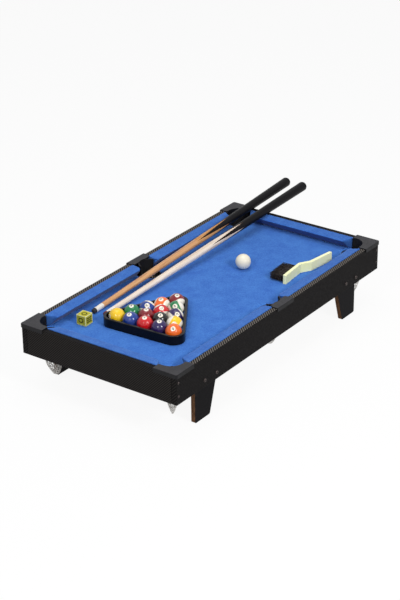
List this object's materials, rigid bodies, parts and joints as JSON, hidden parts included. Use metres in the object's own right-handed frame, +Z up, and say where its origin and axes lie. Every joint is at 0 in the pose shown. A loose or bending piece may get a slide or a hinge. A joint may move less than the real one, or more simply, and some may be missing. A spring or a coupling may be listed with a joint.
{
  "type": "mini pool table",
  "caption": "Tabletop pool table with netted pockets, cloth bed, padded rails and board legs, with racked balls, cues, chalk and a table brush.",
  "frame": {"origin": "middle of the whole set's footprint, cues included, on the surface the feet stand on", "axes": "+Z up, +X along the table towards the cue butts, +Y across the table towards the far long rail"},
  "size_m": [0.8483, 0.37, 0.1665],
  "materials": {
    "wrapped_board": "satin",
    "raw_board": "matte",
    "bed_felt": "matte",
    "cushion_felt": "matte",
    "casting_plastic": "satin",
    "net_mesh": "matte",
    "screw_metal": "satin",
    "leg_board": "satin",
    "black_leather": "matte",
    "brown_leather": "matte",
    "white_ferrule": "gloss",
    "tan_cue_wood": "satin",
    "pale_cue_wood": "satin",
    "cue_lacquer": "gloss",
    "rack_plastic": "gloss",
    "ball_ivory": "gloss",
    "ball_yellow": "gloss",
    "ball_blue": "gloss",
    "ball_red": "gloss",
    "ball_purple": "gloss",
    "ball_orange": "gloss",
    "ball_green": "gloss",
    "ball_maroon": "gloss",
    "ball_black": "gloss",
    "ball_yellow_stripe": "gloss",
    "ball_blue_stripe": "gloss",
    "ball_red_stripe": "gloss",
    "ball_purple_stripe": "gloss",
    "ball_orange_stripe": "gloss",
    "ball_green_stripe": "gloss",
    "ball_maroon_stripe": "gloss",
    "chalk_paper": "matte",
    "chalk_block": "matte",
    "brush_body": "satin",
    "brush_fibre": "matte"
  },
  "bodies": {
    "table": {"side_panel_near": "wrapped_board", "side_panel_far": "wrapped_board", "end_panel_left": "wrapped_board", "end_panel_right": "wrapped_board", "bed_board": "raw_board", "bed_cloth": "bed_felt", "bed_battens": "raw_board", "cushion_near_left": "cushion_felt", "cushion_near_right": "cushion_felt", "cushion_far_right": "cushion_felt", "cushion_far_left": "cushion_felt", "cushion_left": "cushion_felt", "cushion_right": "cushion_felt", "corner_casting_near_left": "casting_plastic", "corner_casting_near_right": "casting_plastic", "corner_casting_far_right": "casting_plastic", "corner_casting_far_left": "casting_plastic", "middle_casting_near": "casting_plastic", "middle_casting_far": "casting_plastic", "net_near_left": "net_mesh", "net_near_right": "net_mesh", "net_far_right": "net_mesh", "net_far_left": "net_mesh", "net_near_middle": "net_mesh", "net_far_middle": "net_mesh", "leg_near_left": "leg_board", "leg_near_right": "leg_board", "leg_far_right": "leg_board", "leg_far_left": "leg_board", "leg_screws": "screw_metal", "frame_screws": "screw_metal"},
    "cue_one": {"cue_one_tip": "black_leather", "cue_one_ferrule": "white_ferrule", "cue_one_shaft": "tan_cue_wood", "cue_one_butt": "cue_lacquer"},
    "cue_two": {"cue_two_tip": "brown_leather", "cue_two_ferrule": "white_ferrule", "cue_two_shaft": "pale_cue_wood", "cue_two_butt": "cue_lacquer"},
    "rack": {"triangle_rack": "rack_plastic"},
    "ball_01": {"ball_01": "ball_yellow"},
    "ball_02": {"ball_02": "ball_blue"},
    "ball_03": {"ball_03": "ball_red"},
    "ball_04": {"ball_04": "ball_purple"},
    "ball_05": {"ball_05": "ball_orange"},
    "ball_06": {"ball_06": "ball_green"},
    "ball_07": {"ball_07": "ball_maroon"},
    "ball_08": {"ball_08": "ball_black"},
    "ball_09": {"ball_09": "ball_yellow_stripe"},
    "ball_10": {"ball_10": "ball_blue_stripe"},
    "ball_11": {"ball_11": "ball_red_stripe"},
    "ball_12": {"ball_12": "ball_purple_stripe"},
    "ball_13": {"ball_13": "ball_orange_stripe"},
    "ball_14": {"ball_14": "ball_green_stripe"},
    "ball_15": {"ball_15": "ball_maroon_stripe"},
    "white_ball": {"cue_ball": "ball_ivory"},
    "chalk": {"chalk_wrap": "chalk_paper", "chalk_core": "chalk_block"},
    "brush": {"brush_handle": "brush_body", "brush_bristles": "brush_fibre"}
  },
  "joints": [
    {"name": "cue_one_lift", "type": "slide", "parent": "table", "child": "cue_one", "axis": [0, 0, 1], "range_m": [0, 0.2]},
    {"name": "cue_two_lift", "type": "slide", "parent": "table", "child": "cue_two", "axis": [0, 0, 1], "range_m": [0, 0.2]},
    {"name": "rack_lift", "type": "slide", "parent": "table", "child": "rack", "axis": [0, 0, 1], "range_m": [0, 0.2]},
    {"name": "ball_01_lift", "type": "slide", "parent": "table", "child": "ball_01", "axis": [0, 0, 1], "range_m": [0, 0.2]},
    {"name": "ball_02_lift", "type": "slide", "parent": "table", "child": "ball_02", "axis": [0, 0, 1], "range_m": [0, 0.2]},
    {"name": "ball_03_lift", "type": "slide", "parent": "table", "child": "ball_03", "axis": [0, 0, 1], "range_m": [0, 0.2]},
    {"name": "ball_04_lift", "type": "slide", "parent": "table", "child": "ball_04", "axis": [0, 0, 1], "range_m": [0, 0.2]},
    {"name": "ball_05_lift", "type": "slide", "parent": "table", "child": "ball_05", "axis": [0, 0, 1], "range_m": [0, 0.2]},
    {"name": "ball_06_lift", "type": "slide", "parent": "table", "child": "ball_06", "axis": [0, 0, 1], "range_m": [0, 0.2]},
    {"name": "ball_07_lift", "type": "slide", "parent": "table", "child": "ball_07", "axis": [0, 0, 1], "range_m": [0, 0.2]},
    {"name": "ball_08_lift", "type": "slide", "parent": "table", "child": "ball_08", "axis": [0, 0, 1], "range_m": [0, 0.2]},
    {"name": "ball_09_lift", "type": "slide", "parent": "table", "child": "ball_09", "axis": [0, 0, 1], "range_m": [0, 0.2]},
    {"name": "ball_10_lift", "type": "slide", "parent": "table", "child": "ball_10", "axis": [0, 0, 1], "range_m": [0, 0.2]},
    {"name": "ball_11_lift", "type": "slide", "parent": "table", "child": "ball_11", "axis": [0, 0, 1], "range_m": [0, 0.2]},
    {"name": "ball_12_lift", "type": "slide", "parent": "table", "child": "ball_12", "axis": [0, 0, 1], "range_m": [0, 0.2]},
    {"name": "ball_13_lift", "type": "slide", "parent": "table", "child": "ball_13", "axis": [0, 0, 1], "range_m": [0, 0.2]},
    {"name": "ball_14_lift", "type": "slide", "parent": "table", "child": "ball_14", "axis": [0, 0, 1], "range_m": [0, 0.2]},
    {"name": "ball_15_lift", "type": "slide", "parent": "table", "child": "ball_15", "axis": [0, 0, 1], "range_m": [0, 0.2]},
    {"name": "white_ball_lift", "type": "slide", "parent": "table", "child": "white_ball", "axis": [0, 0, 1], "range_m": [0, 0.2]},
    {"name": "chalk_lift", "type": "slide", "parent": "table", "child": "chalk", "axis": [0, 0, 1], "range_m": [0, 0.2]},
    {"name": "brush_lift", "type": "slide", "parent": "table", "child": "brush", "axis": [0, 0, 1], "range_m": [0, 0.2]}
  ]
}
